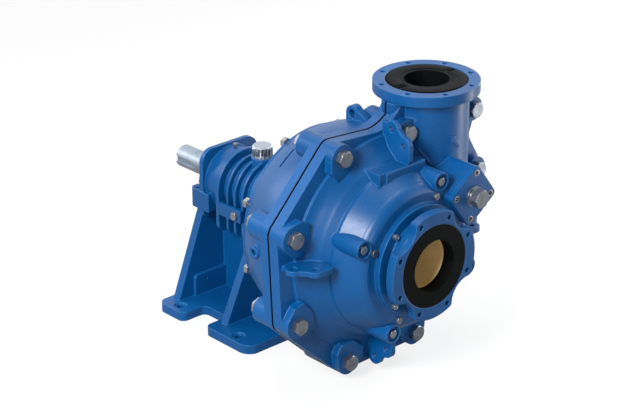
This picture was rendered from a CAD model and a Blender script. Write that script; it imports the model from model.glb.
import math

import bpy
from mathutils import Matrix, Vector


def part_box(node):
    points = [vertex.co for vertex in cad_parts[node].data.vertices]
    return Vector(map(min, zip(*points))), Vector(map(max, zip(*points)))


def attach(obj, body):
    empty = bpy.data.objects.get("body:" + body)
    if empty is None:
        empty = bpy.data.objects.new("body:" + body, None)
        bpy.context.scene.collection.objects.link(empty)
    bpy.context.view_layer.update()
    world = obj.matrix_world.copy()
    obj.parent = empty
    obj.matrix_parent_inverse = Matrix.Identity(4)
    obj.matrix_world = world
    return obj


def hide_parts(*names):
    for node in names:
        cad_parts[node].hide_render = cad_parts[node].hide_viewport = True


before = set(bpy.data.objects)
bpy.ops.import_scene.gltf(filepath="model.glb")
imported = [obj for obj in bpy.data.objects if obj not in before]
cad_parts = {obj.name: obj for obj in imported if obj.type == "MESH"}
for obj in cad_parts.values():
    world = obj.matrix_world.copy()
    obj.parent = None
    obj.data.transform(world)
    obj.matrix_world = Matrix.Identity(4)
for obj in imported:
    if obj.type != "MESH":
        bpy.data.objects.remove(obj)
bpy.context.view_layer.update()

# ---------------------------------------------------------------- finishes


class Value:
    """A socket of a finish; arithmetic on it adds Math nodes."""

    def __init__(self, finish, socket):
        self.finish = finish
        self.socket = socket

    def math(self, operation, first, second):
        return self.finish.node("ShaderNodeMath", {"operation": operation}, {0: first, 1: second})

    def __add__(self, other):
        return self.math("ADD", self, other)

    __radd__ = __add__

    def __sub__(self, other):
        return self.math("SUBTRACT", self, other)

    def __rsub__(self, other):
        return self.math("SUBTRACT", other, self)

    def __mul__(self, other):
        return self.math("MULTIPLY", self, other)

    __rmul__ = __mul__


class Finish:
    """A node material with its shader already in place."""

    def __init__(self, name, shader=None):
        self.material = bpy.data.materials.new(name)
        self.material.use_nodes = True
        self.tree = self.material.node_tree
        self.tree.nodes.clear()
        self.output = self.tree.nodes.new("ShaderNodeOutputMaterial")
        self.shader = self.tree.nodes.new("ShaderNodeBsdfPrincipled")
        self.tree.links.new(self.shader.outputs[0], self.output.inputs["Surface"])
        self.place = self.node("ShaderNodeTexCoord", {}, {}, "Object")
        for socket, value in (shader or {}).items():
            self.set(socket, value)

    def set(self, socket, value):
        self.join(self.shader.inputs[socket], value)

    def join(self, socket, value):
        if isinstance(value, Value):
            self.tree.links.new(value.socket, socket)
        else:
            socket.default_value = value

    def node(self, kind, settings, sockets, output=0):
        node = self.tree.nodes.new(kind)
        for name, value in settings.items():
            setattr(node, name, value)
        for name, value in sockets.items():
            self.join(node.inputs[name], value)
        return Value(self, node.outputs[output])

    def noise(self, scale, detail=2.0, place=None):
        return self.node("ShaderNodeTexNoise", {},
                         {"Vector": place or self.place, "Scale": scale, "Detail": detail})

    def stretched(self, x, y, z):
        return self.node("ShaderNodeMapping", {},
                         {"Vector": self.place, "Scale": (x, y, z)})

    def ramp(self, factor, low, high):
        """Zero below the low end, one above the high end."""
        return self.node("ShaderNodeMapRange", {"interpolation_type": "SMOOTHSTEP"},
                         {"Value": factor, "From Min": low, "From Max": high}, "Result")

    def mix(self, factor, first, second):
        return self.node("ShaderNodeMix", {"data_type": "RGBA"},
                         {0: factor, 6: first, 7: second}, 2)

    def rounded(self, radius):
        """Normals that round the edges of the casting."""
        return self.node("ShaderNodeBevel", {"samples": 6}, {"Radius": radius})

    def edges(self, rounded):
        """One on an edge, zero on a flat surface, from normals that round the edges."""
        flat = self.node("ShaderNodeNewGeometry", {}, {}, "Normal")
        likeness = self.node("ShaderNodeVectorMath", {"operation": "DOT_PRODUCT"},
                             {0: rounded, 1: flat}, "Value")
        return self.ramp(1.0 - likeness, 0.004, 0.16)

    def bump(self, height, depth, strength=1.0, under=None):
        sockets = {"Height": height, "Distance": depth, "Strength": strength}
        if under:
            sockets["Normal"] = under
        return self.node("ShaderNodeBump", {}, sockets, "Normal")


def color(red, green, blue):
    """A screen colour of 0 to 255 as the shader wants it."""
    def linear(part):
        part = part / 255
        return part / 12.92 if part <= 0.04045 else ((part + 0.055) / 1.055) ** 2.4
    return (linear(red), linear(green), linear(blue), 1.0)


def enamel(name, radius, grain):
    """Blue gloss enamel over a casting: orange peel, thin at the edges."""
    finish = Finish(name, {"Coat Roughness": 0.3, "Specular IOR Level": 0.28})
    rounded = finish.rounded(radius)
    edges = finish.edges(rounded)
    broad = finish.noise(3.5, 3.0)
    pits = finish.noise(170.0, 3.0)
    peel = finish.noise(620.0, 2.0)
    base = finish.mix(finish.ramp(broad, 0.35, 0.68), color(0, 73, 130), color(0, 81, 143))
    base = finish.mix(edges * 0.5, base, color(40, 124, 196))
    base = finish.mix(finish.ramp(pits, 0.62, 0.78) * 0.35, base, color(0, 60, 118))
    finish.set("Base Color", base)
    finish.set("Roughness", finish.ramp(broad, 0.2, 0.8) * 0.1 + (peel * 0.08 + 0.31))
    finish.set("Coat Weight", finish.ramp(pits, 0.7, 0.3) * 0.16 + 0.12)
    coarse = finish.bump(pits, 0.0004 * grain, 0.5, rounded)
    finish.set("Normal", finish.bump(peel, 0.00008, 0.5, coarse))
    return finish.material


def plated_steel(name, shade, dark):
    """Zinc-plated fasteners: cloudy, with fine scratches."""
    finish = Finish(name, {"Metallic": 0.9})
    rounded = finish.rounded(0.0012)
    edges = finish.edges(rounded)
    cloud = finish.noise(34.0, 3.0)
    scratch = finish.noise(900.0, 2.0, finish.stretched(1.0, 1.0, 0.12))
    base = finish.mix(finish.ramp(cloud, 0.3, 0.7), shade, dark)
    finish.set("Base Color", finish.mix(edges * 0.6, base, color(214, 216, 218)))
    finish.set("Roughness", cloud * 0.14 + (scratch * 0.12 + 0.17))
    finish.set("Normal", finish.bump(scratch, 0.00006, 0.6, rounded))
    return finish.material


def turned_steel(name):
    """Bright turned steel, with the tool's fine rings along the shaft."""
    finish = Finish(name, {"Metallic": 0.92})
    rounded = finish.rounded(0.0015)
    rings = finish.noise(1.0, 4.0, finish.stretched(6.0, 900.0, 6.0))
    stain = finish.noise(18.0, 4.0)
    base = finish.mix(finish.ramp(stain, 0.45, 0.75) * 0.6, color(158, 170, 184),
                      color(120, 130, 142))
    finish.set("Base Color", base)
    finish.set("Roughness", rings * 0.16 + (stain * 0.1 + 0.34))
    finish.set("Normal", finish.bump(rings, 0.00005, 0.5, rounded))
    return finish.material


def knurled_plate(name):
    """Bright plating on the filler cap."""
    finish = Finish(name, {"Metallic": 0.6})
    rounded = finish.rounded(0.0009)
    cloud = finish.noise(80.0, 3.0)
    finish.set("Base Color", finish.mix(cloud, color(178, 187, 200), color(154, 162, 174)))
    finish.set("Roughness", cloud * 0.14 + 0.3)
    finish.set("Normal", finish.bump(finish.noise(1200.0), 0.00001, 0.4, rounded))
    return finish.material


def black_rubber(name, shade, dusty):
    """Moulded rubber, a little dusty, with flow marks."""
    finish = Finish(name, {"Specular IOR Level": 0.07})
    rounded = finish.rounded(0.002)
    cloud = finish.noise(30.0, 5.0)
    grain = finish.noise(700.0, 2.0)
    base = finish.mix(finish.ramp(cloud, 0.45, 0.8) * 0.5, shade, dusty)
    finish.set("Base Color", base)
    finish.set("Roughness", cloud * 0.2 + (grain * 0.1 + 0.48))
    finish.set("Normal", finish.bump(grain, 0.00012, 0.6, rounded))
    return finish.material


def tan_elastomer(name):
    """Smooth wear-resistant elastomer of the throatbush and the lining's insert."""
    finish = Finish(name)
    rounded = finish.rounded(0.003)
    cloud = finish.noise(14.0, 4.0)
    grain = finish.noise(420.0, 2.0)
    base = finish.mix(finish.ramp(cloud, 0.3, 0.75), color(244, 214, 152), color(234, 198, 130))
    finish.set("Base Color", base)
    finish.set("Roughness", cloud * 0.15 + 0.32)
    finish.set("Normal", finish.bump(grain, 0.00008, 0.5, rounded))
    return finish.material


def white_iron(name):
    """Hard cast iron, as cast."""
    finish = Finish(name, {"Metallic": 0.75})
    rounded = finish.rounded(0.003)
    cloud = finish.noise(25.0, 4.0)
    sand = finish.noise(260.0, 4.0)
    finish.set("Base Color", finish.mix(cloud, color(120, 118, 114), color(84, 82, 80)))
    finish.set("Roughness", sand * 0.25 + 0.4)
    finish.set("Normal", finish.bump(sand, 0.0005, 0.6, rounded))
    return finish.material


def braid(name):
    """Plaited packing yarn."""
    finish = Finish(name)
    plait = finish.node("ShaderNodeTexChecker", {}, {"Vector": finish.place, "Scale": 320.0},
                        "Fac")
    fuzz = finish.noise(500.0, 3.0)
    finish.set("Base Color", finish.mix(plait * 0.5 + fuzz * 0.3, color(196, 188, 166),
                                        color(150, 142, 122)))
    finish.set("Roughness", fuzz * 0.2 + 0.7)
    finish.set("Normal", finish.bump(plait + fuzz, 0.0006, 0.7))
    return finish.material


def sight_glass(name):
    """Oil behind a clear window."""
    finish = Finish(name, {"Roughness": 0.06, "Coat Weight": 0.8})
    cloud = finish.noise(90.0, 3.0)
    finish.set("Base Color", finish.mix(cloud, color(150, 112, 44), color(108, 74, 22)))
    return finish.material


FADE_START = 2.2
FADE_END = 5.6


def plain_floor(name, shade, dim, lift):
    """A pale floor that keeps the pump's shadow near it and fades to white farther out."""
    finish = Finish(name, {"Roughness": 0.8, "Specular IOR Level": 0.1})
    seen = finish.node("ShaderNodeLightPath", {}, {}, "Is Camera Ray")
    reach = finish.node("ShaderNodeVectorMath", {"operation": "LENGTH"}, {0: finish.place},
                        "Value")
    whiteness = finish.ramp(reach, FADE_START, FADE_END) * (1.0 - lift) + lift
    finish.set("Base Color", finish.mix(seen, dim, shade))
    glow = finish.node("ShaderNodeEmission", {}, {"Color": (1.0, 1.0, 1.0, 1.0), "Strength": 1.0})
    shaded = Value(finish, finish.shader.outputs[0])
    blend = finish.node("ShaderNodeMixShader", {}, {0: seen * whiteness, 1: shaded, 2: glow})
    finish.join(finish.output.inputs["Surface"], blend)
    return finish.material


cast_blue = enamel("cast_blue_enamel", 0.0055, 1.0)
fine_blue = enamel("fine_blue_enamel", 0.0022, 0.6)
dull_zinc = plated_steel("dull_zinc", color(150, 156, 162), color(122, 127, 133))
bright_zinc = plated_steel("bright_zinc", color(186, 188, 190), color(150, 153, 156))
black_oxide = plated_steel("black_oxide_steel", color(40, 42, 46), color(26, 28, 31))
bright_shaft = turned_steel("bright_turned_steel")
cap_plating = knurled_plate("cap_plating")
ring_rubber = black_rubber("joint_ring_rubber", color(6, 8, 8), color(15, 17, 17))
liner_rubber = black_rubber("liner_rubber", color(6, 8, 11), color(17, 20, 24))
tan = tan_elastomer("tan_elastomer")
iron = white_iron("white_iron")
packing = braid("packing_yarn")
oil_glass = sight_glass("oil_glass")

NODE_FINISH = {
    "cover_plate": cast_blue,
    "frame_plate": cast_blue,
    "discharge_flange": cast_blue,
    "suction_flange": cast_blue,
    "gearbox_cover": fine_blue,
    "bearing_housing": cast_blue,
    "side_rails": fine_blue,
    "grease_plug": dull_zinc,
    "drive_end_cover": fine_blue,
    "pump_end_cover": fine_blue,
    "pump_base": cast_blue,
    "stuffing_box": cast_blue,
    "cover_plate_liner": liner_rubber,
    "frame_plate_liner": liner_rubber,
    "intake_joint_ring": ring_rubber,
    "throatbush": tan,
    "frame_liner_insert": tan,
    "impeller": iron,
    "gland": iron,
    "drive_end_labyrinth": iron,
    "pump_end_labyrinth": iron,
    "packing_rings": packing,
    "lantern_ring": packing,
    "casing_bolts": dull_zinc,
    "adjuster_bolts": dull_zinc,
    "liner_jack_screws": dull_zinc,
    "adjuster_spindle": dull_zinc,
    "spindle_washer": dull_zinc,
    "casing_nuts": bright_zinc,
    "liner_studs": bright_zinc,
    "liner_stud_nuts": bright_zinc,
    "suction_flange_screws": bright_zinc,
    "gearbox_screws": black_oxide,
    "gland_studs": bright_zinc,
    "gland_nuts": bright_zinc,
    "rail_bolts": bright_zinc,
    "end_cover_screws": bright_zinc,
    "filler_cap": cap_plating,
    "oil_sight_glass": oil_glass,
}

for node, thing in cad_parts.items():
    finish = NODE_FINISH.get(node, bright_shaft)
    for slot in thing.material_slots:
        slot.material = finish
    if not thing.material_slots:
        thing.data.materials.append(finish)

# ---------------------------------------------------------------- added pieces

# Sizes in millimetres. A station is a distance along the shaft from the suction face, and
# x and z are measured from the shaft's axis.
FOOT_STATION = 830.0
CENTER_HEIGHT = 450.0
PARTING_STATION = 301.0
CASING_BOLT_TAIL = 427.0
LINER_STUD_TAIL = 574.0
GLAND_STUD_TAIL = 597.0
GLAND_STUD_X = 96.0
NECK_X = 255.0
NECK_RADIUS = 140.0
DISCHARGE_HEIGHT = 480.5
ARROW_HEIGHT = 304.0
GEARBOX_STATION = 44.3
GEARBOX_CIRCLE = 271.0
GEARBOX_ANGLE = 36.5
GEARBOX_SCREW_CIRCLE = 77.8
GEARBOX_FIRST_SCREW = 81.5

# The filler cap in metres: each rise of its top, and what it does to the width.
CAP_HEIGHT = 0.047
CAP_BASE = 0.006
CAP_STEM = 0.013
CAP_STEM_RADIUS = 0.0205
CAP_RISES = [(0.0015, 0.955), (0.0025, 1.1), (0.0235, 1.0), (0.0035, 1.0), (0.0045, 0.89),
             (0.0, 0.95)]

ALONG_SHAFT = (math.radians(90), 0.0, 0.0)


def millimetres(x, station, z):
    """The place of a station, x and z in the pump's own frame."""
    return Vector((x, station - FOOT_STATION, z + CENTER_HEIGHT)) / 1000.0


def clear_selection():
    if bpy.context.mode != "OBJECT":
        bpy.ops.object.mode_set(mode="OBJECT")
    bpy.ops.object.select_all(action="DESELECT")


def select_faces(piece, wanted):
    """Selects the faces of a piece in edit mode whose centre and normal are wanted."""
    bpy.ops.object.mode_set(mode="OBJECT")
    for item in piece.data.polygons:
        item.select = wanted(item.center, item.normal)
    bpy.ops.object.mode_set(mode="EDIT")
    bpy.ops.mesh.select_mode(type="FACE")


def start_edit(kind="FACE"):
    """Goes to edit mode with nothing selected."""
    bpy.ops.object.mode_set(mode="EDIT")
    bpy.ops.mesh.select_mode(type=kind)
    bpy.ops.mesh.select_all(action="DESELECT")


def finish_piece(piece, name, finish, body, angle=35.0, bevel=0.0):
    """Applies place and bevel, smooths the piece and lets it ride on its body."""
    bpy.ops.object.mode_set(mode="EDIT")
    bpy.ops.mesh.select_all(action="SELECT")
    bpy.ops.mesh.remove_doubles(threshold=0.000002)
    bpy.ops.mesh.normals_make_consistent(inside=False)
    bpy.ops.object.mode_set(mode="OBJECT")
    bpy.ops.object.transform_apply(location=True, rotation=True, scale=True)
    if bevel:
        rounding = piece.modifiers.new("Rounding", "BEVEL")
        rounding.width = bevel
        rounding.segments = 2
        rounding.limit_method = "ANGLE"
        bpy.ops.object.modifier_apply(modifier=rounding.name)
    bpy.ops.object.shade_smooth_by_angle(angle=math.radians(angle))
    piece.name = name
    piece.data.materials.clear()
    piece.data.materials.append(finish)
    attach(piece, body)


def duplicate(piece):
    """A copy with a mesh of its own, selected and active."""
    clear_selection()
    other = piece.copy()
    other.data = piece.data.copy()
    bpy.context.collection.objects.link(other)
    other.select_set(True)
    bpy.context.view_layer.objects.active = other
    return other


def knurled_cap():
    """The filler cap: a base ring, a band with deep slots between ribs, and a crowned top."""
    low, high = (Vector(corner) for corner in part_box("filler_cap"))
    center = (low + high) / 2
    radius = (high.x - low.x) / 2
    top = high.z
    foot = top - CAP_HEIGHT
    sides, ribs = 128, 16
    clear_selection()
    bpy.ops.mesh.primitive_cylinder_add(vertices=sides, radius=radius, depth=CAP_BASE,
                                        location=(center.x, center.y, foot + CAP_BASE / 2))
    cap = bpy.context.object
    bpy.ops.object.transform_apply(location=True, rotation=True, scale=True)
    # Known fault: the new cylinder's edges are still selected here, so the rises leave stray
    # faces inside the cap. It closes if select_faces first deselects everything.
    for rise, size in CAP_RISES:
        level = max(corner.co.z for corner in cap.data.vertices)
        select_faces(cap, lambda place, normal: normal.z > 0.9 and place.z > level - 0.0001)
        bpy.ops.mesh.extrude_region_move(TRANSFORM_OT_translate={"value": (0.0, 0.0, rise)})
        if size != 1.0:
            bpy.ops.transform.resize(value=(size, size, 1.0),
                                     center_override=(center.x, center.y, level + rise))
        bpy.ops.object.mode_set(mode="OBJECT")

    def between_ribs(place, normal):
        turn = math.degrees(math.atan2(place.y - center.y, place.x - center.x)) % (360 / ribs)
        reach = math.hypot(place.x - center.x, place.y - center.y)
        return (turn < 360 / ribs * 0.5 and reach > radius * 0.9 and abs(normal.z) < 0.2
                and foot + 0.012 < place.z < foot + 0.03)

    select_faces(cap, between_ribs)
    bpy.ops.mesh.inset(thickness=0.0004, depth=-0.0065, use_even_offset=False)
    bpy.ops.object.mode_set(mode="OBJECT")
    finish_piece(cap, "filler_cap_crown", cap_plating, "cap", 38.0, 0.0005)
    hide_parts("filler_cap")
    # The stem stays below the cap, in its seat.
    clear_selection()
    bpy.ops.mesh.primitive_cylinder_add(vertices=48, radius=CAP_STEM_RADIUS, depth=CAP_STEM,
                                        location=(center.x, center.y, foot - CAP_STEM / 2))
    stem = bpy.context.object
    select_faces(stem, lambda place, normal: normal.z < -0.9)
    bpy.ops.mesh.inset(thickness=0.004)
    bpy.ops.mesh.extrude_region_move(TRANSFORM_OT_translate={"value": (0.0, 0.0, -0.0025)})
    bpy.ops.object.mode_set(mode="OBJECT")
    finish_piece(stem, "filler_cap_stem", cap_plating, "cap", 38.0, 0.0006)
    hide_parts("filler_cap")


def thread(name, radius, place, length, pitch):
    """A screw thread over the end of a bolt or stud: a ridge wound along the shaft."""
    clear_selection()
    turns = max(2, int(length / pitch) - 1)
    bpy.ops.mesh.primitive_circle_add(vertices=4, radius=pitch * 0.36, fill_type="NGON",
                                      location=(radius - pitch * 0.02, 0.0, 0.0),
                                      rotation=(math.radians(90), 0.0, 0.0))
    ridge = bpy.context.object
    bpy.ops.object.transform_apply(location=True, rotation=True, scale=True)
    winding = ridge.modifiers.new("Winding", "SCREW")
    winding.axis = "Z"
    winding.angle = math.radians(360 * turns)
    winding.steps = 20 * turns
    winding.render_steps = 20 * turns
    winding.screw_offset = pitch * turns
    bpy.ops.object.modifier_apply(modifier=winding.name)
    start_edit()
    bpy.ops.mesh.select_all(action="SELECT")
    bpy.ops.mesh.fill_holes(sides=4)
    bpy.ops.object.mode_set(mode="OBJECT")
    ridge.rotation_euler = (math.radians(-90), 0.0, 0.0)
    ridge.location = Vector(place) + Vector((0.0, pitch * 0.5, 0.0))
    finish_piece(ridge, name, bright_zinc, "frame", 50.0)
    return ridge


def threads(name, places, radius, station, length, pitch):
    """One thread, modelled at the first place and copied to the others."""
    origin = millimetres(places[0][0], station, places[0][1])
    first = thread(name + "_1", radius / 1000, origin, length / 1000, pitch / 1000)
    for index, (x, z) in enumerate(places[1:], start=2):
        other = duplicate(first)
        other.name = "%s_%d" % (name, index)
        other.location = millimetres(x, station, z) - origin
        bpy.ops.object.transform_apply(location=True, rotation=True, scale=True)
        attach(other, "frame")


def on_circle(radius, first, step=0.0, count=1):
    """The x and z of bolts on a circle, from the first one's angle."""
    return [(radius * math.cos(math.radians(first + step * index)),
             radius * math.sin(math.radians(first + step * index))) for index in range(count)]


def bolt_threads():
    """Threads on the tails of the casing bolts and on the studs."""
    above = on_circle(388.0, 117.3)
    around = on_circle(404.0, 161.1, 43.8, 5)
    beside_neck = [(431.0, 136.0), (408.0, 354.0), (102.0, 354.0)]
    threads("casing_bolt_thread", above + around + beside_neck, radius=15.0,
            station=CASING_BOLT_TAIL, length=12.0, pitch=2.4)
    threads("liner_stud_thread", on_circle(304.0, 22.5, 45.0, 8), radius=8.0,
            station=LINER_STUD_TAIL, length=10.0, pitch=1.8)
    threads("gland_stud_thread", [(-GLAND_STUD_X, 0.0), (GLAND_STUD_X, 0.0)], radius=7.8,
            station=GLAND_STUD_TAIL, length=11.0, pitch=1.8)


def ring_wall(width):
    """Takes the middle out of the selected end faces and joins the two edges."""
    bpy.ops.mesh.inset(thickness=width)
    bpy.ops.mesh.bridge_edge_loops()


def washer(name, inner, outer, thick, place, finish):
    """A chamfered washer that lies square to the shaft."""
    clear_selection()
    bpy.ops.mesh.primitive_cylinder_add(vertices=48, radius=outer, depth=thick,
                                        location=place, rotation=ALONG_SHAFT)
    ring = bpy.context.object
    start_edit()
    select_faces(ring, lambda spot, normal: abs(normal.z) > 0.9)
    ring_wall(outer - inner)
    bpy.ops.object.mode_set(mode="OBJECT")
    finish_piece(ring, name, finish, "frame", 35.0, 0.0004)


def gearbox_washers():
    """A bright washer under each socket screw of the spindle's gearbox."""
    x, z = on_circle(GEARBOX_CIRCLE, GEARBOX_ANGLE)[0]
    screws = on_circle(GEARBOX_SCREW_CIRCLE, GEARBOX_FIRST_SCREW, 90.0, 4)
    for index, (across, up) in enumerate(screws, start=1):
        washer("gearbox_washer_%d" % index, 0.0071, 0.0108, 0.0016,
               millimetres(x + across, GEARBOX_STATION, z + up), bright_zinc)


def flow_arrow():
    """A raised arrow on the neck that points the way the slurry leaves."""
    turn = math.radians(-93.0)
    outward = Vector((math.cos(turn), math.sin(turn), 0.0))
    across = Vector((-math.sin(turn), math.cos(turn), 0.0))
    ahead = (Vector((0.0, 0.0, 1.0)) - across).normalized()
    sunk = 2.2
    place = (millimetres(NECK_X, PARTING_STATION, ARROW_HEIGHT)
             + outward * ((NECK_RADIUS - sunk) / 1000.0))
    clear_selection()
    bpy.ops.mesh.primitive_circle_add(vertices=3, radius=0.0185, fill_type="NGON",
                                      location=(0.0, 0.0, 0.0))
    arrow = bpy.context.object
    bpy.ops.object.mode_set(mode="EDIT")
    bpy.ops.mesh.select_all(action="SELECT")
    bpy.ops.transform.translate(value=(0.0, 0.018, 0.0))
    bpy.ops.object.mode_set(mode="OBJECT")

    def select_edges(wanted):
        """Selects the edges of the arrow whose two ends are wanted."""
        start_edit("EDGE")
        bpy.ops.object.mode_set(mode="OBJECT")
        for edge in arrow.data.edges:
            edge.select = wanted(*(arrow.data.vertices[index].co for index in edge.vertices))
        bpy.ops.object.mode_set(mode="EDIT")

    # The head's rear edge is divided, and its middle is drawn out to make the tail.
    select_edges(lambda first, second: abs(first.y - second.y) < 0.0001)
    bpy.ops.mesh.subdivide(number_cuts=3)
    select_edges(lambda first, second: abs(first.y - second.y) < 0.0001
                 and max(abs(first.x), abs(second.x)) < 0.01)
    bpy.ops.mesh.extrude_region_move(TRANSFORM_OT_translate={"value": (0.0, -0.034, 0.0)})
    bpy.ops.mesh.select_all(action="SELECT")
    bpy.ops.mesh.select_mode(type="FACE")
    bpy.ops.mesh.extrude_region_move(TRANSFORM_OT_translate={"value": (0.0, 0.0, 0.0055)})
    bpy.ops.object.mode_set(mode="OBJECT")
    arrow.matrix_world = (Matrix.Translation(place)
                          @ Matrix((ahead.cross(outward), ahead, outward)).transposed().to_4x4())
    finish_piece(arrow, "flow_arrow", fine_blue, "frame", 40.0, 0.0009)


def neck_bead():
    """The thin bead that the casting pattern leaves down the side of the neck."""
    high = millimetres(137.0, 226.0, 301.0)
    low = millimetres(175.0, 187.0, 230.0)
    along = low - high
    thick = 0.012
    clear_selection()
    bpy.ops.mesh.primitive_uv_sphere_add(segments=20, ring_count=14, radius=0.5,
                                         location=(high + low) / 2,
                                         rotation=along.to_track_quat("Z", "Y").to_euler(),
                                         scale=(thick, thick, along.length))
    finish_piece(bpy.context.object, "neck_bead", cast_blue, "frame", 60.0)


def discharge_pads():
    """Two moulded half rings on the lining's face, with the split's channel between them."""
    center = millimetres(NECK_X, PARTING_STATION, DISCHARGE_HEIGHT)
    inner, outer, rise, sunk = 0.088, 0.1285, 0.0022, 0.0004
    clear_selection()
    bpy.ops.mesh.primitive_cylinder_add(vertices=144, radius=outer, depth=rise,
                                        location=center + Vector((0.0, 0.0, rise / 2 - sunk)))
    pads = bpy.context.object
    bpy.ops.object.transform_apply(location=True, rotation=True, scale=True)
    select_faces(pads, lambda place, normal: abs(normal.z) > 0.9)
    ring_wall(outer - inner)

    def over_split(place, normal):
        reach = math.hypot(place.x - center.x, place.y - center.y)
        return abs(place.y - center.y) < 0.125 * reach

    select_faces(pads, over_split)
    bpy.ops.mesh.delete(type="FACE")
    bpy.ops.mesh.select_all(action="SELECT")
    bpy.ops.mesh.fill_holes(sides=4)
    finish_piece(pads, "discharge_liner_pads", liner_rubber, "frame", 40.0, 0.0007)


def joint_seal():
    """The rubber edge that shows all round the joint between the two casing halves."""
    seal = duplicate(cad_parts["frame_plate"])
    start_edit()
    bpy.ops.mesh.select_all(action="SELECT")
    bpy.ops.mesh.remove_doubles(threshold=0.00001)
    joint = millimetres(0.0, PARTING_STATION, 0.0)
    front, rear, proud = 0.0008, 0.0045, 0.0012
    for shift, side in ((rear, 1.0), (front, -1.0)):
        bpy.ops.mesh.select_all(action="SELECT")
        bpy.ops.mesh.bisect(plane_co=joint + Vector((0.0, shift, 0.0)),
                            plane_no=(0.0, side, 0.0), use_fill=True, clear_outer=True)
    bpy.ops.mesh.select_all(action="SELECT")
    bpy.ops.transform.shrink_fatten(value=proud)
    finish_piece(seal, "casing_joint_seal", liner_rubber, "frame", 40.0)


knurled_cap()
bolt_threads()
gearbox_washers()
flow_arrow()
neck_bead()
discharge_pads()
joint_seal()

# ---------------------------------------------------------------- floor, light and camera


def lay_floor():
    """A wide floor a hair below the feet."""
    bpy.ops.object.select_all(action="DESELECT")
    bpy.ops.mesh.primitive_plane_add(size=12.0, location=(0.0, 0.0, -0.0005))
    floor = bpy.context.object
    floor.name = "floor"
    floor.data.materials.append(plain_floor("pale_floor", shade=(0.9, 0.9, 0.9, 1.0),
                                            dim=(0.35, 0.35, 0.35, 1.0), lift=0.78))


def studio_world(ambient, room, white_side):
    """Soft light all round; reflections find white on one side and a dimmer room opposite.

    What looks at the room directly always finds it white."""
    world = bpy.data.worlds.new("studio")
    world.use_nodes = True
    tree = world.node_tree
    tree.nodes.clear()

    def node(kind, settings, sockets, output=0):
        made = tree.nodes.new(kind)
        for name, value in settings.items():
            setattr(made, name, value)
        for name, value in sockets.items():
            if isinstance(value, bpy.types.NodeSocket):
                tree.links.new(value, made.inputs[name])
            else:
                made.inputs[name].default_value = value
        return made.outputs[output]

    def background(strength):
        return node("ShaderNodeBackground", {},
                    {"Color": (1.0, 1.0, 1.0, 1.0), "Strength": strength})

    rays = tree.nodes.new("ShaderNodeLightPath")
    way = node("ShaderNodeTexCoord", {}, {}, "Generated")
    facing = node("ShaderNodeVectorMath", {"operation": "DOT_PRODUCT"},
                  {0: way, 1: white_side}, "Value")
    wall = node("ShaderNodeMapRange", {"interpolation_type": "SMOOTHSTEP"},
                {"Value": facing, "From Min": -0.45, "From Max": 0.35, "To Min": room,
                 "To Max": 1.0}, "Result")
    straight = node("ShaderNodeMath", {"operation": "MAXIMUM"},
                    {0: rays.outputs["Is Camera Ray"], 1: rays.outputs["Is Transmission Ray"]})
    mirrored = node("ShaderNodeMixShader", {},
                    {0: rays.outputs["Is Glossy Ray"], 1: background(ambient),
                     2: background(wall)})
    shown = node("ShaderNodeMixShader", {}, {0: straight, 1: mirrored, 2: background(1.0)})
    output = tree.nodes.new("ShaderNodeOutputWorld")
    tree.links.new(shown, output.inputs["Surface"])
    bpy.context.scene.world = world


def softbox(name, place, target, width, height, power):
    """A rectangular lamp of so many metres and watts that faces its target."""
    light = bpy.data.lights.new(name, "AREA")
    light.shape = "RECTANGLE"
    light.size = width
    light.size_y = height
    light.energy = power
    lamp = bpy.data.objects.new(name, light)
    bpy.context.collection.objects.link(lamp)
    lamp.location = place
    lamp.rotation_euler = (Vector(target) - Vector(place)).to_track_quat("-Z", "Y").to_euler()


def camera(azimuth, elevation, distance, target, lens):
    """A level camera that looks at its target from so many degrees round and up."""
    azimuth = math.radians(azimuth)
    elevation = math.radians(elevation)
    back = Vector((math.sin(azimuth) * math.cos(elevation),
                   -math.cos(azimuth) * math.cos(elevation), math.sin(elevation)))
    right = Vector((math.cos(azimuth), math.sin(azimuth), 0.0))
    up = back.cross(right)
    view = bpy.data.cameras.new("camera")
    view.lens = lens
    view.sensor_width = 36.0
    thing = bpy.data.objects.new("camera", view)
    bpy.context.collection.objects.link(thing)
    turn = Matrix((right, up, back)).transposed().to_4x4()
    thing.matrix_world = Matrix.Translation(Vector(target) + back * distance) @ turn
    bpy.context.scene.camera = thing


lay_floor()
studio_world(ambient=0.12, room=0.2, white_side=(0.66, 0.71, 0.25))
middle = (0.0, -0.4, 0.45)
suction_bore = (0.03, -0.7, 0.42)
neck_side = (0.255, -0.529, 0.5)
softbox("key", (-4.8, -1.8, 3.8), middle, 2.0, 2.0, 450.0)
softbox("top", (0.6, 0.6, 4.8), middle, 3.0, 3.0, 85.0)
softbox("side", (3.6, -4.0, 2.2), middle, 1.4, 2.4, 30.0)
softbox("rim", (4.4, 0.2, 1.8), middle, 1.0, 3.0, 180.0)
softbox("back", (-2.6, 4.8, 3.0), middle, 2.4, 2.4, 90.0)
softbox("bore", (-1.7, -3.3, 1.5), suction_bore, 0.6, 0.6, 16.0)
softbox("strip", (1.44, -1.24, 0.45), neck_side, 0.25, 0.9, 6.0)
camera(azimuth=-42.7025, elevation=24.0668, distance=6.7656,
       target=(-0.2151, -0.5335, 0.6111), lens=121.35)
bpy.context.scene.view_settings.view_transform = "Standard"
